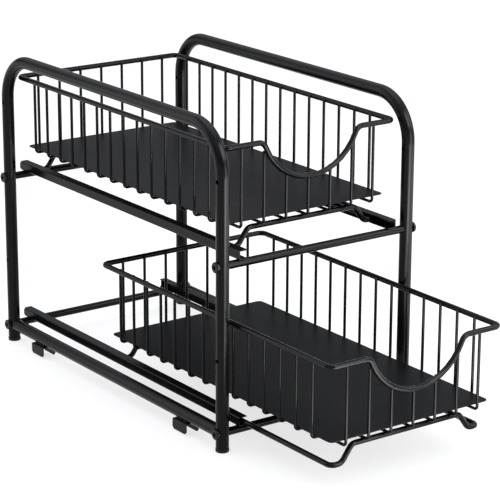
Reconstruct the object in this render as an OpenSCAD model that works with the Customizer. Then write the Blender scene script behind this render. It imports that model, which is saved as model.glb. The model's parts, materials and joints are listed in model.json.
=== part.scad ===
// Two-tier pull-out basket for a cabinet. Two bent tube hoops are joined by four crossbars.
// Each tier has a pair of C-rails, and a wire basket slides in them on a bent rod runner.
// Millimetres, +Z up, floor at Z = 0. The baskets draw out along -Y.

/* [Frame] */
// Distance between the left and the right post axes
frame_w = 224; // [205:1:320]
// Distance between the front and the back post axes
frame_d = 400; // [340:1:520]
// Height of the top rails' axes above the floor
frame_h = 319.3; // [305:0.1:400]
// Outer diameter of the hoop and base tubes
tube_d = 13; // [12:0.5:16]
// Wall of the hoop and base tubes
tube_wall = 1.2; // [0.8:0.1:2]
// Bend radius of the hoops, to the tube's axis
hoop_bend_r = 45; // [25:1:46]
// Height of the base tubes' and the lower crossbars' axes
base_z = 19; // [18:0.5:30]
// Height from the lower crossbars to the upper ones
tier_pitch = 168; // [125:1:200]
// Diameter of the crossbars
crossbar_d = 8; // [6:0.5:10]

/* [Holes and screws] */
// Height of the lower accessory holes in the posts
low_hole_z = 93.3; // [60:0.1:150]
// Distance of the upper accessory holes below the top rails' axes
high_hole_drop = 49.7; // [48:0.1:90]
// Diameter of the accessory holes
accessory_hole_d = 4.2; // [2:0.1:5]
// Diameter of the crossbar screws
screw_d = 4; // [3:0.5:5]
// Clearance round a screw in the post's hole
screw_clearance = 0.2; // [0.1:0.05:0.5]
// Clearance round a screw in the crossbar's end
thread_clearance = 0.05; // [0.02:0.01:0.2]
// Depth to which a screw enters the crossbar
screw_grip = 12; // [8:1:20]
// Diameter of the screws' pan heads
head_d = 10.9; // [8:0.1:12]
// Height of the screws' pan heads
head_h = 3; // [2:0.1:4]
// Width across the flats of the hexagonal recess
recess_af = 4; // [2.5:0.5:5]
// Depth of the hexagonal recess
recess_h = 1.8; // [1:0.1:2.2]

/* [Foot plugs] */
// Diameter of the visible part of a foot plug
foot_d = 13.6; // [13:0.1:18]
// Height of the visible part of a foot plug
foot_h = 3.5; // [2:0.5:6]
// Length of the stem inside the post
foot_stem = 9; // [5:1:10]
// Clearance between the stem and the tube's inside
foot_clearance = 0.1; // [0.05:0.05:0.3]

/* [Rails] */
// Outer height of the C-rails
rail_h = 9.5; // [9:0.1:14]
// Outer width of the C-rails
rail_w = 9.3; // [8:0.1:14]
// Sheet of the rails
rail_sheet = 1; // [0.8:0.1:1.5]
// Outer radius of the rails' folds
rail_fold_r = 1.4; // [1.2:0.1:1.8]
// How far a rail reaches in front of the front crossbar's axis
rail_front = 4; // [0:0.5:10]
// How far a rail reaches behind the back crossbar's axis
rail_back = 7; // [4:0.5:15]
// Corner cut at the rear end of a rail
rail_chamfer = 1.8; // [1:0.1:3]
// Side play of the runner against the rail's web
runner_play = 2.25; // [0.5:0.05:3]
// Gap under the runner in the rail
runner_gap = 0.3; // [0.2:0.05:0.6]

/* [Stacking saddles] */
// Distance from the middle of the frame to the middle of a saddle
saddle_y = 137; // [80:1:160]
// Length of a saddle
saddle_l = 24; // [15:1:40]
// Sheet of the saddles
saddle_sheet = 1; // [0.8:0.1:1.5]
// Clearance between a saddle and the top rail that it straddles, on both sides together
saddle_gap = 0.4; // [0.2:0.1:1]
// Depth of a saddle below its tube
saddle_h = 11; // [8:0.5:11]
// Corner cut at the lower ends of a saddle's legs
saddle_chamfer = 2.5; // [1:0.5:4]

/* [Basket] */
// Length of the rim, to the rod's axis
basket_l = 383; // [320:1:500]
// Width of the rim, to the rod's axis
basket_w = 203.6; // [190:0.1:300]
// Height of the rim's axis above the tier's crossbar axis
rim_height = 110; // [70:1:112]
// Diameter of the rim's and the runner's rod
rod_d = 5.5; // [5:0.1:6]
// Bend radius of the rim's corners, to the rod's axis
rim_corner_r = 7; // [5:0.5:20]
// Depth of the hand dip in the front of the rim
dip_depth = 41; // [15:1:45]
// Radius of the hand dip, to the rod's axis
dip_r = 59; // [45:1:70]
// Radius of the bends beside the hand dip
dip_edge_r = 9; // [6:0.5:14]
// Diameter of the basket's wires
wire_d = 3; // [2.4:0.1:3.2]
// Bend radius of the wires under the floor, to the wire's axis
wire_bend_r = 4; // [3:0.1:6]
// How far the wires' ends reach above the rim's axis
wire_end = 0.8; // [0:0.1:1.5]
// Number of wires across the basket
cross_count = 14; // [6:1:20]
// Number of wires along the basket
long_count = 7; // [3:1:11]
// Distance from the rim's front to the first cross wire
cross_front_margin = 32; // [15:0.5:40]
// Distance from the rim's back to the last cross wire
cross_back_margin = 27; // [15:0.5:40]
// Distance from the rim to the first and the last long wire
long_margin = 22; // [15:0.5:40]
// Thickness of the floor panel
panel_t = 1; // [0.8:0.1:3]
// Corner radius of the floor panel
panel_corner_r = 5; // [3:0.5:20]
// Gap between the floor panel and the upright wires at the sides
panel_side_gap = 0.5; // [0.3:0.1:2]
// Gap between the floor panel and the upright wires at the front and the back
panel_end_gap = 0.2; // [0.1:0.1:2]

/* [Runner] */
// Width of the runner between the axes of its two long sides
runner_w = 178.6; // [165:0.1:270]
// Distance from the rim's ends to the runner's ends
runner_inset = 13.5; // [10:0.5:40]
// Rise of the runner's ends from the rails to the floor wires
runner_rise = 16.8; // [13:0.1:24]
// Corner radius of the runner, to the rod's axis
runner_corner_r = 6; // [5:0.5:15]
// Straight length between a corner of the runner and its step
runner_lead = 2; // [1.5:0.5:5]
// Bend radius of the runner's steps, to the rod's axis
runner_step_r = 8; // [6:0.5:10]
// Slope of the runner's steps
runner_slope = 54; // [45:1:65]

/* [Position] */
// How far the lower basket is drawn out
lower_pull = 165; // [0:1:240]
// How far the upper basket is drawn out
upper_pull = 0; // [0:1:240]
// Distance that a closed basket's middle lies behind the middle of the frame
home_y = 2.5; // [0:0.5:8]

/* [Hidden] */
$fn = 48;
// Depth to which welded pieces sink into each other
weld = 0.2;
// Gap round a crossbar in the notch of a base tube's end
notch_gap = 0.2;
// Extra length of a cutter past the face that it cuts
over = 1;
// Slanted bends are skins of this many sides, thinner than the rod by skin_gap so that they end inside it
skin_sides = 20;
skin_gap = 0.03;
skin_lap = 1;
bend_steps = 5;
dip_steps = 14;

black_steel = [0.13, 0.13, 0.14];
black_plastic = [0.07, 0.07, 0.07];
panel_black = [0.16, 0.165, 0.175];
screw_black = [0.10, 0.10, 0.105];

post_x = frame_w / 2;
post_y = frame_d / 2;
post_l = frame_h - hoop_bend_r - foot_h;
top_l = frame_d - 2 * hoop_bend_r;
bore_d = tube_d - 2 * tube_wall;

rail_z = crossbar_d / 2 - weld;
rail_x = runner_w / 2 + rod_d / 2 + runner_play + rail_sheet;
rail_l = rail_front + frame_d + rail_back;
saddle_w = tube_d + saddle_gap + 2 * saddle_sheet;

// Heights in a basket, above the tier's crossbar axis
runner_z = rail_z + rail_sheet + runner_gap + rod_d / 2;
carrier_z = runner_z + runner_rise;
long_z = carrier_z + (rod_d + wire_d) / 2 - weld;
cross_z = long_z + wire_d - weld;

// Upright wires stand on the inner side of the rim
upright_x = basket_w / 2 - (rod_d + wire_d) / 2 + weld;
upright_y = basket_l / 2 - (rod_d + wire_d) / 2 + weld;
cross_step = (basket_l - cross_front_margin - cross_back_margin) / (cross_count - 1);
long_step = (basket_w - 2 * long_margin) / (long_count - 1);

// The long edges of the floor panel rest in the inner curves of the cross wires' bends
panel_w = 2 * (upright_x - wire_d / 2 - panel_side_gap);
panel_l = 2 * (upright_y - wire_d / 2 - panel_end_gap);
curve_r = wire_bend_r - wire_d / 2;
curve_reach = curve_r - panel_side_gap;
panel_z = cross_z + wire_bend_r - sqrt(curve_r ^ 2 - curve_reach ^ 2) - weld / 2;

// Half angle and half width of the hand dip
dip_angle = acos((dip_r + dip_edge_r - dip_depth) / (dip_r + dip_edge_r));
dip_x = (dip_r + dip_edge_r) * sin(dip_angle);

// The whole object's box is centred on Y = 0
front_y = min(home_y - max(lower_pull, upper_pull) - basket_l / 2 - rod_d / 2, -post_y - tube_d / 2);
back_y = max(post_y + rail_back, post_y + tube_d / 2, home_y + basket_l / 2 + rod_d / 2 - min(lower_pull, upper_pull));
row_y = -(front_y + back_y) / 2;

// ---- Bent rods and tubes ----

// A quarter turn of rod that starts at the origin along +Z and leans towards +X
module quarter_bend(d, r)
    translate([r, 0, 0])
        rotate([90, 0, 180])
            rotate_extrude(angle = 90)
                translate([r, 0])
                    circle(d = d);

// Carries its children to the end of that quarter turn
module past_bend(r)
    translate([r, 0, 0])
        rotate([0, 90, 0])
            translate([-r, 0, 0])
                children();

// Rod that starts at the origin along +Z. A step is [straight length, roll, bend radius].
// The roll turns the bend about the rod, 0 leans it towards +X. The last step is [straight length].
module bent_rod(d, steps, i = 0) {
    step = steps[i];
    if (step[0] > 0)
        cylinder(d = d, h = step[0]);
    if (i + 1 < len(steps))
        translate([0, 0, step[0]])
            rotate([0, 0, step[1]]) {
                quarter_bend(d, step[2]);
                past_bend(step[2])
                    rotate([0, 0, -step[1]])
                        bent_rod(d, steps, i + 1);
            }
}

// The same steps with the first and the last straight length made longer
function lengthened(steps, extra) = [
    for (i = [0 : len(steps) - 1])
        i == 0 || i == len(steps) - 1
            ? concat([steps[i][0] + extra], [for (k = [1 : 1 : len(steps[i]) - 1]) steps[i][k]])
            : steps[i]
];

module bent_tube(d, wall, steps)
    difference() {
        bent_rod(d, steps);
        translate([0, 0, -over])
            bent_rod(d - 2 * wall, lengthened(steps, over));
    }

module mirrored_x() {
    children();
    mirror([1, 0, 0])
        children();
}

// ---- Frame ----

function tier_z(tier) = base_z + tier * tier_pitch;

module placed()
    translate([0, row_y, 0])
        children();

// Through holes along X in both posts of a hoop
module post_holes(d, z)
    for (end = [-1, 1])
        translate([-tube_d / 2 - over, end * post_y, z])
            rotate([0, 90, 0])
                cylinder(d = d, h = tube_d + 2 * over);

module hoop_tube(side)
    color(black_steel)
        placed()
            translate([side * post_x, 0, 0])
                difference() {
                    translate([0, -post_y, foot_h])
                        rotate([0, 0, 90])
                            bent_tube(tube_d, tube_wall,
                                [[post_l, 0, hoop_bend_r], [top_l, 0, hoop_bend_r], [post_l]]);
                    for (tier = [0, 1])
                        post_holes(screw_d + 2 * screw_clearance, tier_z(tier));
                    post_holes(accessory_hole_d, low_hole_z);
                    post_holes(accessory_hole_d, frame_h - high_hole_drop);
                }

// Two posts as solid rods, which cope the ends of what meets them
module post_cutters(spacing)
    for (end = [-1, 1])
        translate([0, end * spacing / 2, 0])
            cylinder(d = tube_d, h = 2 * tube_d, center = true);

// Its ends are coped to the posts, notched for the crossbars and drilled for the screws
module base_tube(side)
    color(black_steel)
        placed()
            translate([side * post_x, 0, base_z])
                difference() {
                    translate([0, -post_y, 0])
                        rotate([-90, 0, 0])
                            cylinder(d = tube_d, h = frame_d);
                    translate([0, -post_y - over, 0])
                        rotate([-90, 0, 0])
                            cylinder(d = bore_d, h = frame_d + 2 * over);
                    post_cutters(frame_d);
                    post_holes(screw_d + 2 * screw_clearance, 0);
                    for (end = [-1, 1])
                        translate([-side * tube_d / 2, end * post_y, 0])
                            rotate([0, 90, 0])
                                cylinder(d = crossbar_d + 2 * notch_gap, h = tube_d, center = true);
                }

// A foot plug: a rounded disc under the tube's end and a stem inside it
module foot(side, end)
    color(black_plastic)
        placed()
            translate([side * post_x, end * post_y, 0])
                rotate_extrude()
                    foot_profile();

module foot_profile() {
    edge_r = foot_h / 3;
    stem_r = bore_d / 2 - foot_clearance;
    square([foot_d / 2 - edge_r, foot_h]);
    translate([0, edge_r])
        square([foot_d / 2, foot_h - edge_r]);
    translate([foot_d / 2 - edge_r, edge_r])
        circle(r = edge_r);
    square([stem_r, foot_h + foot_stem]);
}

module crossbar(tier, end)
    color(black_steel)
        placed()
            translate([0, end * post_y, tier_z(tier)])
                difference() {
                    translate([-post_x, 0, 0])
                        rotate([0, 90, 0])
                            cylinder(d = crossbar_d, h = frame_w);
                    rotate([0, 0, 90])
                        post_cutters(frame_w);
                    mirrored_x()
                        translate([post_x - tube_d / 2 - screw_grip - over, 0, 0])
                            rotate([0, 90, 0])
                                cylinder(d = screw_d + 2 * thread_clearance, h = tube_d + screw_grip);
                }

// A pan-head screw from the post's outer side into the crossbar's end
module screw(tier, side, end)
    color(screw_black)
        placed()
            translate([side * (post_x + tube_d / 2), end * post_y, tier_z(tier)])
                rotate([0, side * 90, 0])
                    difference() {
                        union() {
                            rotate_extrude()
                                pan_head_profile();
                            translate([0, 0, -tube_d - screw_grip])
                                cylinder(d = screw_d, h = tube_d + screw_grip + over);
                        }
                        translate([0, 0, head_h - recess_h])
                            cylinder(d = recess_af / cos(30), h = recess_h + over, $fn = 6);
                    }

module pan_head_profile() {
    edge_r = head_h * 0.45;
    square([head_d / 2 - edge_r, head_h]);
    square([head_d / 2, head_h - edge_r]);
    translate([head_d / 2 - edge_r, head_h - edge_r])
        circle(r = edge_r);
}

// ---- Rails ----

// Solid outline with its two corners on the web side rounded
module web_side_rounded(w, h, r) {
    translate([r, 0])
        square([w - r, h]);
    translate([0, r])
        square([w, h - 2 * r]);
    for (y = [r, h - r])
        translate([r, y])
            circle(r = r);
}

// C-section with its web on the Y axis, open towards +X
module rail_profile()
    difference() {
        web_side_rounded(rail_w, rail_h, rail_fold_r);
        translate([rail_sheet, rail_sheet])
            web_side_rounded(rail_w, rail_h - 2 * rail_sheet, rail_fold_r - rail_sheet);
    }

// A rail with its rear end closed by an inward fold, which stops the runner
module left_rail_body()
    difference() {
        union() {
            translate([0, rail_l, 0])
                rotate([90, 0, 0])
                    linear_extrude(rail_l)
                        rail_profile();
            translate([0, rail_l, 0])
                rotate([90, 0, 0])
                    linear_extrude(rail_sheet)
                        web_side_rounded(rail_w - rail_fold_r, rail_h, rail_fold_r);
        }
        for (z = [0, rail_h])
            translate([0, rail_l, z])
                rotate([0, 0, 45])
                    cube([rail_chamfer * sqrt(2), rail_chamfer * sqrt(2), rail_chamfer * 2], center = true);
    }

module rail(tier, side)
    color(black_steel)
        placed()
            mirror([side > 0 ? 1 : 0, 0, 0])
                translate([-rail_x, -post_y - rail_front, tier_z(tier) + rail_z])
                    left_rail_body();

// ---- Stacking saddles ----

module saddle_profile()
    difference() {
        union() {
            translate([-saddle_w / 2, -saddle_h])
                square([saddle_w, saddle_h - rail_fold_r]);
            translate([-saddle_w / 2 + rail_fold_r, -rail_fold_r - over])
                square([saddle_w - 2 * rail_fold_r, rail_fold_r + over]);
            for (side = [-1, 1])
                translate([side * (saddle_w / 2 - rail_fold_r), -rail_fold_r])
                    circle(r = rail_fold_r);
        }
        translate([-(tube_d + saddle_gap) / 2, -saddle_h - over])
            square([tube_d + saddle_gap, saddle_h + over - saddle_sheet]);
    }

// Outline of a saddle's legs from the side, with the lower corners cut
module leg_outline()
    polygon([
        [-saddle_l / 2, over], [saddle_l / 2, over],
        [saddle_l / 2, -saddle_h + saddle_chamfer], [saddle_l / 2 - saddle_chamfer, -saddle_h],
        [-saddle_l / 2 + saddle_chamfer, -saddle_h], [-saddle_l / 2, -saddle_h + saddle_chamfer],
    ]);

module saddle(side, end)
    color(black_steel)
        placed()
            translate([side * post_x, end * saddle_y, base_z - tube_d / 2 + weld])
                intersection() {
                    rotate([90, 0, 0])
                        linear_extrude(saddle_l, center = true)
                            saddle_profile();
                    rotate([90, 0, 90])
                        linear_extrude(saddle_w + 2 * over, center = true)
                            leg_outline();
                }

// ---- Baskets ----

module in_basket(tier)
    placed()
        translate([0, home_y - (tier == 0 ? lower_pull : upper_pull), tier_z(tier)])
            children();

// Slope of the front rim at a distance x from its middle
function dip_slope(x) =
    abs(x) < dip_r * sin(dip_angle) ? asin(abs(x) / dip_r)
    : abs(x) < dip_x ? asin((dip_x - abs(x)) / dip_edge_r)
    : 0;

// Depth of the rim's axis below the rim's height there
function dip_at(x) =
    abs(x) < dip_r * sin(dip_angle) ? dip_depth - dip_r * (1 - cos(dip_slope(x)))
    : dip_edge_r * (1 - cos(dip_slope(x)));

// Points [x, z, slope] along the axis of a bend that turns down from the level, and of one that levels out.
// Both are given for a fall towards +X, the second one ends at [0, 0].
function falling_bend(r, angle) = [
    for (i = [0 : bend_steps])
        let (turn = angle * i / bend_steps)
            [r * sin(turn), r * (cos(turn) - 1), -turn]
];
function levelling_bend(r, angle) = [
    for (i = [bend_steps : -1 : 0])
        let (turn = angle * i / bend_steps)
            [-r * sin(turn), r * (1 - cos(turn)), -turn]
];

// Moves a path's points, and turns it end for end
function moved(path, x, z) = [for (p = path) [p[0] + x, p[1] + z, p[2]]];
function reversed(path) = [for (i = [len(path) - 1 : -1 : 0]) [-path[i][0], path[i][1], -path[i][2]]];

// The dip's axis, with the rim's height as 0
function bowl() = [
    for (i = [1 : dip_steps - 1])
        let (turn = dip_angle * (2 * i / dip_steps - 1))
            [dip_r * sin(turn), dip_r * (1 - cos(turn)) - dip_depth, turn]
];
function dip_path() =
    let (edge = moved(falling_bend(dip_edge_r, dip_angle), -dip_x, 0))
        concat([[-dip_x - skin_lap, 0, 0]], edge, bowl(), reversed(edge), [[dip_x + skin_lap, 0, 0]]);

// A round skin of flat sides along a path of [x, z, slope] points
module skinned_path(path, d, sides) {
    last = len(path) - 1;
    points = [
        for (p = path, k = [0 : sides - 1])
            let (across = d / 2 * cos(360 * k / sides), up = d / 2 * sin(360 * k / sides))
                [p[0] - up * sin(p[2]), across, p[1] + up * cos(p[2])]
    ];
    skin = [
        for (i = [0 : last - 1], k = [0 : sides - 1])
            let (next = (k + 1) % sides)
                [i * sides + next, i * sides + k, (i + 1) * sides + k, (i + 1) * sides + next]
    ];
    start_cap = [for (k = [0 : sides - 1]) k];
    end_cap = [for (k = [sides - 1 : -1 : 0]) last * sides + k];
    polyhedron(points = points, faces = concat(skin, [start_cap, end_cap]), convexity = 6);
}

module rim(tier)
    color(black_steel)
        in_basket(tier)
            translate([0, -basket_l / 2, rim_height]) {
                front_l = basket_w / 2 - dip_x - rim_corner_r;
                side_l = basket_l - 2 * rim_corner_r;
                translate([dip_x, 0, 0])
                    rotate([0, 90, 0])
                        bent_rod(rod_d, [
                            [front_l, 90, rim_corner_r], [side_l, 90, rim_corner_r],
                            [basket_w - 2 * rim_corner_r, 90, rim_corner_r], [side_l, 90, rim_corner_r],
                            [front_l],
                        ]);
                skinned_path(dip_path(), rod_d - skin_gap, skin_sides);
            }

// U-shaped wires across the basket, from one side of the rim under the floor to the other
module cross_wires(tier)
    color(black_steel)
        in_basket(tier)
            for (i = [0 : cross_count - 1]) {
                up = rim_height + wire_end - cross_z - wire_bend_r;
                translate([-upright_x, cross_front_margin + i * cross_step - basket_l / 2, rim_height + wire_end])
                    rotate([180, 0, 0])
                        bent_rod(wire_d, [
                            [up, 0, wire_bend_r], [2 * (upright_x - wire_bend_r), 0, wire_bend_r], [up],
                        ]);
            }

// U-shaped wires along the basket. In front they end at the rim's dip, lower where the rim is steep.
module long_wires(tier)
    color(black_steel)
        in_basket(tier)
            for (i = [0 : long_count - 1]) {
                x = long_margin + i * long_step - basket_w / 2;
                up = rim_height + wire_end - long_z - wire_bend_r;
                drop = dip_at(x) + wire_d / 2 * tan(dip_slope(x));
                translate([x, -upright_y, rim_height + wire_end - drop])
                    rotate([180, 0, 90])
                        bent_rod(wire_d, [
                            [up - drop, 0, wire_bend_r],
                            [2 * (upright_y - wire_bend_r), 0, wire_bend_r], [up],
                        ]);
            }

module floor_panel(tier)
    color(panel_black)
        in_basket(tier)
            translate([0, 0, panel_z])
                linear_extrude(panel_t) {
                    square([panel_w - 2 * panel_corner_r, panel_l], center = true);
                    square([panel_w, panel_l - 2 * panel_corner_r], center = true);
                    for (sx = [-1, 1], sy = [-1, 1])
                        translate([sx * (panel_w / 2 - panel_corner_r), sy * (panel_l / 2 - panel_corner_r)])
                            circle(r = panel_corner_r);
                }

// A step of the runner from the floor wires down to the rails, which ends at [0, 0]
function step_path() =
    let (
        sloped_rise = runner_rise - 2 * runner_step_r * (1 - cos(runner_slope)),
        span = 2 * runner_step_r * sin(runner_slope) + sloped_rise / tan(runner_slope)
    )
        concat(
            [[-span - skin_lap, runner_rise, 0]],
            moved(falling_bend(runner_step_r, runner_slope), -span, runner_rise),
            levelling_bend(runner_step_r, runner_slope),
            [[skin_lap, 0, 0]]
        );

// One rod bent to a closed ring. Its long sides lie in the rails, its ends step up to the floor wires.
module runner(tier)
    color(black_steel)
        in_basket(tier) {
            end_y = basket_l / 2 - runner_inset;
            step_x = runner_w / 2 - runner_corner_r - runner_lead;
            side_l = 2 * (end_y - runner_corner_r);
            carrier_x = step_x + step_path()[1][0];
            mirrored_x()
                translate([step_x, -end_y, runner_z])
                    rotate([0, 90, 0])
                        bent_rod(rod_d, [
                            [runner_lead, 90, runner_corner_r], [side_l, 90, runner_corner_r], [runner_lead],
                        ]);
            for (end = [-1, 1])
                translate([0, end * end_y, runner_z]) {
                    translate([-carrier_x, 0, runner_rise])
                        rotate([0, 90, 0])
                            cylinder(d = rod_d, h = 2 * carrier_x);
                    mirrored_x()
                        translate([step_x, 0, 0])
                            skinned_path(step_path(), rod_d - skin_gap, skin_sides);
                }
        }

// ---- Nodes ----

hoop_tube(-1);  // left_hoop_tube
hoop_tube(1);  // right_hoop_tube
base_tube(-1);  // left_base_tube
base_tube(1);  // right_base_tube
foot(-1, -1);  // front_left_foot
foot(1, -1);  // front_right_foot
foot(-1, 1);  // back_left_foot
foot(1, 1);  // back_right_foot
crossbar(0, -1);  // lower_front_crossbar
crossbar(0, 1);  // lower_back_crossbar
crossbar(1, -1);  // upper_front_crossbar
crossbar(1, 1);  // upper_back_crossbar
screw(0, -1, -1);  // lower_front_left_screw
screw(0, 1, -1);  // lower_front_right_screw
screw(0, -1, 1);  // lower_back_left_screw
screw(0, 1, 1);  // lower_back_right_screw
screw(1, -1, -1);  // upper_front_left_screw
screw(1, 1, -1);  // upper_front_right_screw
screw(1, -1, 1);  // upper_back_left_screw
screw(1, 1, 1);  // upper_back_right_screw
rail(0, -1);  // lower_left_rail
rail(0, 1);  // lower_right_rail
rail(1, -1);  // upper_left_rail
rail(1, 1);  // upper_right_rail
saddle(-1, -1);  // front_left_saddle
saddle(1, -1);  // front_right_saddle
saddle(-1, 1);  // back_left_saddle
saddle(1, 1);  // back_right_saddle
rim(0);  // lower_rim
cross_wires(0);  // lower_cross_wires
long_wires(0);  // lower_long_wires
floor_panel(0);  // lower_floor_panel
runner(0);  // lower_runner
rim(1);  // upper_rim
cross_wires(1);  // upper_cross_wires
long_wires(1);  // upper_long_wires
floor_panel(1);  // upper_floor_panel
runner(1);  // upper_runner
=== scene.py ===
"""Looks of the two-tier pull-out cabinet basket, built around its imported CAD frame. Metres, +Z up."""

import json
import math

import bpy
from mathutils import Matrix, Vector


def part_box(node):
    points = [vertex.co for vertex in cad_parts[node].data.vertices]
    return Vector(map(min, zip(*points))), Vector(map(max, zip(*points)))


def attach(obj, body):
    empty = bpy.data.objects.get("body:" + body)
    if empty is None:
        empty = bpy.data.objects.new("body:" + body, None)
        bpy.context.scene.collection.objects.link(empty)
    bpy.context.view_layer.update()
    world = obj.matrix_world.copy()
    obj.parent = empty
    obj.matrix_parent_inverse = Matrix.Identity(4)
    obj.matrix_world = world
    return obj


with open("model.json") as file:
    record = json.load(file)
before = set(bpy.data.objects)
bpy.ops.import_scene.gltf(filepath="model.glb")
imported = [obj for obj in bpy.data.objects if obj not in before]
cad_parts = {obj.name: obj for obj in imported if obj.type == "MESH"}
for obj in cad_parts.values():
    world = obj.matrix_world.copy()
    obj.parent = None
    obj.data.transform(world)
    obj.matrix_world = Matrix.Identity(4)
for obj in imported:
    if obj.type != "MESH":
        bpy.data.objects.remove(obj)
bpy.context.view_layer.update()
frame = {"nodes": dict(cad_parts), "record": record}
MM = 0.001

SIDES = ("left", "right")
ENDS = ("front", "back")
TIERS = ("lower", "upper")


# ---- Node trees ----

class Shader:
    """A node tree and short ways to add to it."""

    def __init__(self, owner):
        owner.use_nodes = True
        self.tree = owner.node_tree
        self.tree.nodes.clear()

    def add(self, kind, **settings):
        node = self.tree.nodes.new(kind)
        for name, value in settings.items():
            setattr(node, name, value)
        return node

    def link(self, source, target):
        self.tree.links.new(source, target)

    def math(self, operation, first, second):
        node = self.add("ShaderNodeMath", operation=operation)
        for socket, value in zip(node.inputs, (first, second)):
            if isinstance(value, (int, float)):
                socket.default_value = value
            else:
                self.link(value, socket)
        return node.outputs[0]

    def noise(self, place, scale, detail, roughness=0.5):
        node = self.add("ShaderNodeTexNoise")
        node.inputs["Scale"].default_value = scale
        node.inputs["Detail"].default_value = detail
        node.inputs["Roughness"].default_value = roughness
        self.link(place, node.inputs["Vector"])
        return node.outputs["Fac"]

    def spread(self, factor, low, high, start=0.3, end=0.7, shape="LINEAR"):
        """Maps start..end of factor, by default where most noise lies, to low..high."""
        node = self.add("ShaderNodeMapRange", interpolation_type=shape)
        node.inputs["From Min"].default_value = start
        node.inputs["From Max"].default_value = end
        node.inputs["To Min"].default_value = low
        node.inputs["To Max"].default_value = high
        self.link(factor, node.inputs["Value"])
        return node.outputs["Result"]

    def mixed_colour(self, factor, first, second):
        node = self.add("ShaderNodeMix", data_type="RGBA")
        self.link(factor, node.inputs["Factor"])
        node.inputs["A"].default_value = (*first, 1)
        node.inputs["B"].default_value = (*second, 1)
        return node.outputs["Result"]

    def bump(self, height, distance, normal=None):
        node = self.add("ShaderNodeBump")
        node.inputs["Distance"].default_value = distance
        self.link(height, node.inputs["Height"])
        if normal is not None:
            self.link(normal, node.inputs["Normal"])
        return node.outputs["Normal"]


# ---- Finishes ----

TONE_SCALE = 9  # patches per metre
SHEEN_SCALE = 60  # patches per metre
SHEEN_SPREAD = 0.02  # of the roughness, up and down
CRISP = 0.6  # roughness of the sheen's and the grain's noise
GRAIN_SHARE = 1 / 3  # of the orange peel's relief


def powder_coat(name, dark, light, roughness, grain, peel, relief, specular=0.12):
    """Baked powder coat: fine orange peel, a sheen that varies a little and a faint shift of tone."""
    material = bpy.data.materials.new(name)
    shader = Shader(material)
    place = shader.add("ShaderNodeTexCoord").outputs["Object"]
    surface = shader.add("ShaderNodeBsdfPrincipled")
    surface.inputs["Specular IOR Level"].default_value = specular

    tone = shader.spread(shader.noise(place, TONE_SCALE, detail=3), 0, 1)
    shader.link(shader.mixed_colour(tone, dark, light), surface.inputs["Base Color"])

    sheen = shader.noise(place, SHEEN_SCALE, detail=4, roughness=CRISP)
    varied = shader.spread(sheen, roughness - SHEEN_SPREAD, roughness + SHEEN_SPREAD)
    shader.link(varied, surface.inputs["Roughness"])

    orange_peel = shader.bump(shader.noise(place, 1 / peel, detail=2), relief)
    fine_noise = shader.noise(place, 1 / grain, detail=3, roughness=CRISP)
    fine = shader.bump(fine_noise, relief * GRAIN_SHARE, normal=orange_peel)
    shader.link(fine, surface.inputs["Normal"])

    output = shader.add("ShaderNodeOutputMaterial")
    shader.link(surface.outputs["BSDF"], output.inputs["Surface"])
    return material


FINISHES = {
    "frame_steel": powder_coat(
        "satin_black_powder_coat", dark=(0.0034, 0.0036, 0.0042), light=(0.0054, 0.0056, 0.0064),
        roughness=0.21, grain=0.45 * MM, peel=1.6 * MM, relief=0.006 * MM),
    "wire_steel": powder_coat(
        "satin_black_wire_coat", dark=(0.0030, 0.0032, 0.0037), light=(0.0050, 0.0052, 0.0060),
        roughness=0.20, grain=0.4 * MM, peel=1.3 * MM, relief=0.005 * MM),
    "panel_steel": powder_coat(
        "matte_black_sheet_coat", dark=(0.0042, 0.0044, 0.0052), light=(0.0060, 0.0063, 0.0074),
        roughness=0.38, grain=0.5 * MM, peel=2.2 * MM, relief=0.003 * MM, specular=0.06),
    "foot_plastic": powder_coat(
        "black_moulded_plug", dark=(0.0040, 0.0040, 0.0042), light=(0.0058, 0.0058, 0.0060),
        roughness=0.45, grain=0.3 * MM, peel=0.9 * MM, relief=0.008 * MM, specular=0.20),
    "screw_steel": powder_coat(
        "black_screw_coat", dark=(0.0035, 0.0035, 0.0038), light=(0.0055, 0.0055, 0.0060),
        roughness=0.20, grain=0.2 * MM, peel=0.8 * MM, relief=0.004 * MM, specular=0.20),
}

MERGE_DISTANCE = 0.02 * MM
SHEET_ROUNDING = 0.2 * MM
SHARP_ANGLE = math.radians(35)


def soften(node, rounding=None):
    """Joins a node's loose facets, rounds its sharp edges if asked to and evens its shading."""
    join = node.modifiers.new("join", "WELD")
    join.merge_threshold = MERGE_DISTANCE
    if rounding:
        edges = node.modifiers.new("edges", "BEVEL")
        edges.width = rounding
        edges.segments = 2
        edges.limit_method = "ANGLE"
        edges.angle_limit = SHARP_ANGLE
    even = node.modifiers.new("even", "WEIGHTED_NORMAL")
    even.keep_sharp = False


def dress_frame():
    """Gives each CAD node the finish of its slot, rods an even shading and sheet parts rounded edges."""
    for part in frame["record"]["subparts"]:
        name = part["node"]
        node = frame["nodes"][name]
        node.data.materials.clear()
        node.data.materials.append(FINISHES[part["material_slot"]])
        if name.endswith(("_rim", "_runner")):
            soften(node)
        elif name.endswith(("_rail", "_saddle", "_floor_panel")):
            soften(node, SHEET_ROUNDING)


# ---- Shapes of welds ----

BEAD_SIDES = 10
BEAD_RIPPLE = 1.1 * MM
STEPS_PER_RIPPLE = 6
LEAST_STEPS = 8
RIPPLE_DEPTH = 0.14  # of the bead's radius
BEAD_TIP = 0.35  # of the bead's radius, left at its ends
SLACK = 1e-9  # for rounding, in metres


def skin(rings, sides):
    """Faces of a closed tube whose vertices come ring by ring, sides to a ring."""
    faces = []
    for near in range(0, (rings - 1) * sides, sides):
        far = near + sides
        for k in range(sides):
            after = (k + 1) % sides
            faces.append((near + k, near + after, far + after, far + k))
    faces.append(tuple(reversed(range(sides))))
    faces.append(tuple(range((rings - 1) * sides, rings * sides)))
    return faces


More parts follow.
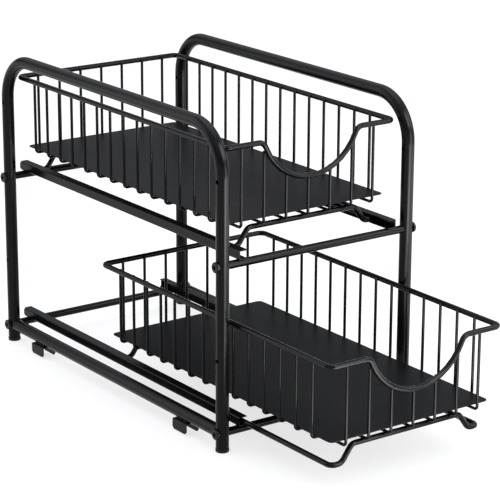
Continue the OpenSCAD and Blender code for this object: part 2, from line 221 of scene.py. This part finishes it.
def tube_mesh(path, radii, sides):
    """Vertices and faces of a closed tube along path."""
    vertices = []
    side = (path[1] - path[0]).orthogonal().normalized()
    for index, (place, radius) in enumerate(zip(path, radii)):
        along = (path[min(index + 1, len(path) - 1)] - path[max(index - 1, 0)]).normalized()
        side = (side - along * side.dot(along)).normalized()
        other = along.cross(side)
        for k in range(sides):
            turn = 2 * math.pi * k / sides
            vertices.append(place + (side * math.cos(turn) + other * math.sin(turn)) * radius)
    return vertices, skin(len(path), sides)


def bead_mesh(path, radius):
    """A weld bead along path, rippled along its length and drawn in at both ends."""
    reaches = [0]
    for first, second in zip(path, path[1:]):
        reaches.append(reaches[-1] + (second - first).length)
    length = reaches[-1]
    steps = max(LEAST_STEPS, round(length / BEAD_RIPPLE * STEPS_PER_RIPPLE))
    fine_path, radii = [], []
    for step in range(steps + 1):
        reach = length * step / steps
        index = next(i for i in range(1, len(reaches)) if reach <= reaches[i] + SLACK)
        share = (reach - reaches[index - 1]) / (reaches[index] - reaches[index - 1])
        fine_path.append(path[index - 1].lerp(path[index], share))
        from_end = max(0, min(reach, length - reach)) / radius
        taper = BEAD_TIP + (1 - BEAD_TIP) * math.sqrt(min(1, from_end))
        ripple = 1 - RIPPLE_DEPTH * (1 - abs(math.sin(math.pi * reach / BEAD_RIPPLE)))
        radii.append(radius * taper * ripple)
    return tube_mesh(fine_path, radii, BEAD_SIDES)


SEAM_HALF_LENGTH = 1.3 * MM
SEAM_CROWN = 0.22 * MM
SEAM_SINK = 0.03 * MM
SEAM_STEPS = 8
SEAM_SIDES = 32


def seam_mesh(place, rod_radius):
    """The ground butt weld of a rod along X: a low band whose edges sink into the rod."""
    path, radii = [], []
    for step in range(SEAM_STEPS + 1):
        share = 2 * step / SEAM_STEPS - 1
        path.append(place + Vector((share * SEAM_HALF_LENGTH, 0, 0)))
        radii.append(rod_radius + SEAM_CROWN * (1 - share * share) - SEAM_SINK)
    return tube_mesh(path, radii, SEAM_SIDES)


FLASH_HALF_WIDTH = 1.3 * MM
FLASH_HALF_HEIGHT = 1.0 * MM
FLASH_RINGS = 7
FLASH_SIDES = 12
FLASH_LOBES = 3
FLASH_UNEVENNESS = 0.10


def flash_mesh(place):
    """The flash of a resistance weld: a flattened, uneven drop at place."""
    vertices = []
    for ring in reversed(range(FLASH_RINGS)):
        lift = math.pi * (ring + 0.5) / FLASH_RINGS
        for k in range(FLASH_SIDES):
            turn = 2 * math.pi * k / FLASH_SIDES
            lobe = 1 + FLASH_UNEVENNESS * math.cos(FLASH_LOBES * turn + ring)
            reach = FLASH_HALF_WIDTH * math.sin(lift) * lobe
            spot = (reach * math.cos(turn), reach * math.sin(turn), FLASH_HALF_HEIGHT * math.cos(lift))
            vertices.append(place + Vector(spot))
    return vertices, skin(FLASH_RINGS, FLASH_SIDES)


def joined(meshes):
    """The vertices and faces of several meshes as those of one."""
    vertices, faces = [], []
    for some_vertices, some_faces in meshes:
        start = len(vertices)
        vertices += some_vertices
        faces += [tuple(start + index for index in face) for face in some_faces]
    return vertices, faces


# ---- Welds in place ----

def add_piece(name, vertices, faces, slot, body):
    """Adds a piece that wears the finish of slot and rides on body."""
    mesh = bpy.data.meshes.new(name)
    mesh.from_pydata(vertices, [], faces)
    mesh.shade_smooth()
    mesh.materials.append(FINISHES[slot])
    piece = bpy.data.objects.new(name, mesh)
    bpy.context.scene.collection.objects.link(piece)
    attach(piece, body)


def middle_of(name):
    """The middle of a CAD node's box."""
    low, high = (Vector(corner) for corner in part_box(name))
    return (low + high) / 2


BASE_BEAD_RADIUS = 1.15 * MM
BASE_BEAD_LIFT = 0.25 * MM
BASE_BEAD_STARTS = (math.radians(38), math.radians(218))
BASE_BEAD_SWEEP = math.radians(104)
BASE_BEAD_STEPS = 18


def base_weld_path(centre, radius, facing, start):
    """An arc of the corner between a post at centre and the base tube, which leaves it along facing * Y."""
    path = []
    for step in range(BASE_BEAD_STEPS + 1):
        turn = start + BASE_BEAD_SWEEP * step / BASE_BEAD_STEPS
        off_tube = Vector((math.cos(turn), 0, math.sin(turn)))
        off_post = Vector((math.cos(turn), facing * abs(math.sin(turn)), 0))
        corner = centre + Vector((off_tube.x, off_post.y, off_tube.z)) * radius
        path.append(corner + (off_tube + off_post).normalized() * BASE_BEAD_LIFT)
    return path


def add_base_welds():
    """Beads where the base tubes meet the posts, above and below."""
    for side in SIDES:
        low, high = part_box(side + "_base_tube")
        radius = (high[0] - low[0]) / 2
        axis = middle_of(side + "_base_tube")
        beads = []
        for end, facing in zip(ENDS, (1, -1)):
            centre = Vector((axis.x, middle_of(f"{end}_{side}_foot").y, axis.z))
            for start in BASE_BEAD_STARTS:
                beads.append(bead_mesh(base_weld_path(centre, radius, facing, start), BASE_BEAD_RADIUS))
        add_piece(side + "_base_welds", *joined(beads), "frame_steel", "frame")


SADDLE_BEAD_RADIUS = 0.8 * MM
SADDLE_BEAD_ACROSS = 3.4 * MM
SADDLE_BEAD_LIFT = 0.35 * MM
SADDLE_BEAD_INSET = 3 * MM


def add_saddle_welds():
    """Beads in the grooves between the base tubes and the saddles."""
    for side in SIDES:
        axis = middle_of(side + "_base_tube")
        beads = []
        for end in ENDS:
            low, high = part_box(f"{end}_{side}_saddle")
            z = high[2] + SADDLE_BEAD_LIFT
            tips = (low[1] + SADDLE_BEAD_INSET, high[1] - SADDLE_BEAD_INSET)
            for x in (axis.x - SADDLE_BEAD_ACROSS, axis.x + SADDLE_BEAD_ACROSS):
                beads.append(bead_mesh([Vector((x, y, z)) for y in tips], SADDLE_BEAD_RADIUS))
        add_piece(side + "_saddle_welds", *joined(beads), "frame_steel", "frame")


RAIL_BEAD_RADIUS = 0.7 * MM
RAIL_BEAD_ALONG = 2.3 * MM
RAIL_BEAD_DROP = 0.3 * MM
RAIL_BEAD_INSET = 1 * MM


def add_rail_welds():
    """Beads in the grooves between the rails and the crossbars."""
    for tier in TIERS:
        beads = []
        for side in SIDES:
            low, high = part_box(f"{tier}_{side}_rail")
            z = low[2] - RAIL_BEAD_DROP
            tips = (low[0] + RAIL_BEAD_INSET, high[0] - RAIL_BEAD_INSET)
            for end in ENDS:
                bar = middle_of(f"{tier}_{end}_crossbar")
                for y in (bar.y - RAIL_BEAD_ALONG, bar.y + RAIL_BEAD_ALONG):
                    beads.append(bead_mesh([Vector((x, y, z)) for x in tips], RAIL_BEAD_RADIUS))
        add_piece(tier + "_rail_welds", *joined(beads), "frame_steel", "frame")


ROD_RADIUS = 2.75 * MM
RIM_SEAM_ACROSS = 21 * MM
RUNNER_SEAM_ACROSS = 34 * MM


def add_rod_seams(tier):
    """The butt welds of a rim and a runner, a little right of the middle of their back sides."""
    rim_low, rim_high = (Vector(corner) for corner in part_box(tier + "_rim"))
    runner_high = Vector(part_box(tier + "_runner")[1])
    middle = (rim_low + rim_high) / 2
    seams = []
    for high, across in ((rim_high, RIM_SEAM_ACROSS), (runner_high, RUNNER_SEAM_ACROSS)):
        place = Vector((middle.x + across, high.y - ROD_RADIUS, high.z - ROD_RADIUS))
        seams.append(seam_mesh(place, ROD_RADIUS))
    add_piece(tier + "_rod_seams", *joined(seams), "wire_steel", tier + "_basket")


# The upright wires stand where the part's source puts them; margins run from the middle of the rim's rod.
CROSS_COUNT = 14
CROSS_FRONT_MARGIN = 32 * MM
CROSS_BACK_MARGIN = 27 * MM
LONG_COUNT = 7
LONG_MARGIN = 22 * MM


def spaced(first, last, count):
    """Evenly spaced places from first to last, count in all."""
    return [first + (last - first) * index / (count - 1) for index in range(count)]


def add_rim_flash(tier):
    """The flash where the upright wires meet the left, right and back sides of a rim."""
    rim_low, rim_high = (Vector(corner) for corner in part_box(tier + "_rim"))
    z = rim_high.z - ROD_RADIUS
    drops = []
    first = rim_low.y + ROD_RADIUS + CROSS_FRONT_MARGIN
    last = rim_high.y - ROD_RADIUS - CROSS_BACK_MARGIN
    for y in spaced(first, last, CROSS_COUNT):
        for x in (rim_low.x + 2 * ROD_RADIUS, rim_high.x - 2 * ROD_RADIUS):
            drops.append(flash_mesh(Vector((x, y, z))))
    first = rim_low.x + ROD_RADIUS + LONG_MARGIN
    last = rim_high.x - ROD_RADIUS - LONG_MARGIN
    for x in spaced(first, last, LONG_COUNT):
        drops.append(flash_mesh(Vector((x, rim_high.y - 2 * ROD_RADIUS, z))))
    add_piece(tier + "_rim_flash", *joined(drops), "wire_steel", tier + "_basket")


# ---- Camera, floor and light ----

# The photograph's camera, fitted to the corners of the frame and of the rims.
CAMERA_PLACE = (-1226.5 * MM, -1707.0 * MM, 790.5 * MM)
CAMERA_YAW = math.radians(35.930)
CAMERA_PITCH = math.radians(16.884)
CAMERA_ROLL = math.radians(0.273)
CAMERA_LENS = 155.19


def add_camera():
    camera = bpy.data.objects.new("camera", bpy.data.cameras.new("camera"))
    bpy.context.scene.collection.objects.link(camera)
    bpy.context.scene.camera = camera
    camera.data.lens = CAMERA_LENS
    camera.data.clip_start = 0.05
    camera.data.clip_end = 60
    turn = Matrix.Rotation(-CAMERA_YAW, 4, "Z") @ Matrix.Rotation(math.pi / 2 - CAMERA_PITCH, 4, "X")
    camera.matrix_world = Matrix.Translation(CAMERA_PLACE) @ turn @ Matrix.Rotation(CAMERA_ROLL, 4, "Z")


FLOOR_HALF = 12.0
FLOOR_ALBEDO = 0.30
FLOOR_LIFT = 0.74  # the floor's own light, which only the camera, gloss and glass see


def add_floor():
    """White paper that keeps the object's shadow."""
    mesh = bpy.data.meshes.new("floor")
    corners = [(-FLOOR_HALF, -FLOOR_HALF, 0), (FLOOR_HALF, -FLOOR_HALF, 0),
               (FLOOR_HALF, FLOOR_HALF, 0), (-FLOOR_HALF, FLOOR_HALF, 0)]
    mesh.from_pydata(corners, [], [(0, 1, 2, 3)])
    floor = bpy.data.objects.new("floor", mesh)
    bpy.context.scene.collection.objects.link(floor)
    material = bpy.data.materials.new("white_paper")
    shader = Shader(material)
    paper = shader.add("ShaderNodeBsdfPrincipled")
    paper.inputs["Base Color"].default_value = (FLOOR_ALBEDO, FLOOR_ALBEDO, FLOOR_ALBEDO, 1)
    paper.inputs["Roughness"].default_value = 1.0
    paper.inputs["Specular IOR Level"].default_value = 0.0
    paper.inputs["Emission Color"].default_value = (1, 1, 1, 1)
    rays = shader.add("ShaderNodeLightPath").outputs
    seen = shader.math("MAXIMUM", rays["Is Camera Ray"], rays["Is Glossy Ray"])
    seen = shader.math("MAXIMUM", seen, rays["Is Transmission Ray"])
    shader.link(shader.math("MULTIPLY", seen, FLOOR_LIFT), paper.inputs["Emission Strength"])
    output = shader.add("ShaderNodeOutputMaterial")
    shader.link(paper.outputs["BSDF"], output.inputs["Surface"])
    mesh.materials.append(material)


ROOM_WALL = 0.18
ROOM_CEILING = 1.1
ROOM_TINT = (0.96, 0.985, 1.06)
PAPER_TINT = (1, 1, 1)

# Where the paper fades into the wall and the wall into the ceiling, as sines of the height in the sky.
PAPER_FADE = (0.06, 0.13)
WALL_FADE = (0.22, 0.62)


def add_room():
    """A studio room: white paper to a little above the horizon, a dim wall over it, a bright ceiling."""
    world = bpy.data.worlds.new("studio")
    bpy.context.scene.world = world
    shader = Shader(world)
    direction = shader.add("ShaderNodeTexCoord").outputs["Generated"]
    parts = shader.add("ShaderNodeSeparateXYZ")
    shader.link(direction, parts.inputs[0])
    room = shader.spread(parts.outputs["Z"], ROOM_WALL, ROOM_CEILING, *WALL_FADE, "SMOOTHSTEP")
    paper = shader.spread(parts.outputs["Z"], 1, 0, *PAPER_FADE, "SMOOTHSTEP")
    background = shader.add("ShaderNodeBackground")
    shader.link(shader.mixed_colour(paper, ROOM_TINT, PAPER_TINT), background.inputs["Color"])
    shader.link(shader.math("MAXIMUM", room, paper), background.inputs["Strength"])
    output = shader.add("ShaderNodeOutputWorld")
    shader.link(background.outputs["Background"], output.inputs["Surface"])


def add_softbox(name, place, target, size, radiance, only_in_gloss=False):
    """A rectangular lamp of even radiance at place that faces target; size is its width and height."""
    width, height = size
    lamp = bpy.data.lights.new(name, "AREA")
    lamp.shape = "RECTANGLE"
    lamp.size = width
    lamp.size_y = height
    lamp.energy = radiance * math.pi * width * height
    softbox = bpy.data.objects.new(name, lamp)
    bpy.context.scene.collection.objects.link(softbox)
    facing = (Vector(target) - Vector(place)).to_track_quat("-Z", "Y")
    softbox.matrix_world = Matrix.Translation(place) @ facing.to_matrix().to_4x4()
    softbox.visible_camera = False
    softbox.visible_diffuse = not only_in_gloss


LOW_LAMP_HEIGHT = 2 * MM
FRAME_MIDDLE = (0, 0, 0.16)
FRAME_TOP = (0, 0, 0.3)
LEFT_HOOP_BEND = (-0.11, -0.12, 0.32)


def add_low_lamp(name, x, y, size, radiance):
    """A lamp lying on the floor, face up, which the gloss of posts and upright wires mirrors."""
    add_softbox(name, (x, y, LOW_LAMP_HEIGHT), (x, y, 1), size, radiance, only_in_gloss=True)


def add_lights():
    """The room and its lamps: those in front show in posts, wires and bends, the boxes in level tubes."""
    add_room()
    add_softbox("strip", (0.28, -0.93, 0.225), (0, 0.07, 0.225), size=(0.30, 0.45), radiance=9)
    add_softbox("high_front", (0.12, -0.90, 0.86), LEFT_HOOP_BEND, size=(0.45, 0.55), radiance=10,
                only_in_gloss=True)
    add_low_lamp("low_strip_near", -0.024, -0.536, size=(0.22, 0.36), radiance=13)
    add_low_lamp("low_strip_far", 0.066, -0.956, size=(0.40, 0.48), radiance=20)
    add_low_lamp("low_right", 0.70, -0.72, size=(0.80, 0.70), radiance=4)
    add_softbox("right_box", (0.95, -0.85, 0.85), FRAME_MIDDLE, size=(0.9, 0.7), radiance=5.2)
    add_softbox("back_left_box", (-1.50, 1.23, 0.86), FRAME_TOP, size=(1.4, 1.5), radiance=1.7)
    add_softbox("overhead", (0.1, 0.1, 2.2), FRAME_MIDDLE, size=(1.6, 1.6), radiance=2.0)


# ---- The scene ----

dress_frame()
add_base_welds()
add_saddle_welds()
add_rail_welds()
for tier in TIERS:
    add_rod_seams(tier)
    add_rim_flash(tier)
add_camera()
add_floor()
add_lights()
bpy.context.scene.view_settings.view_transform = "Standard"
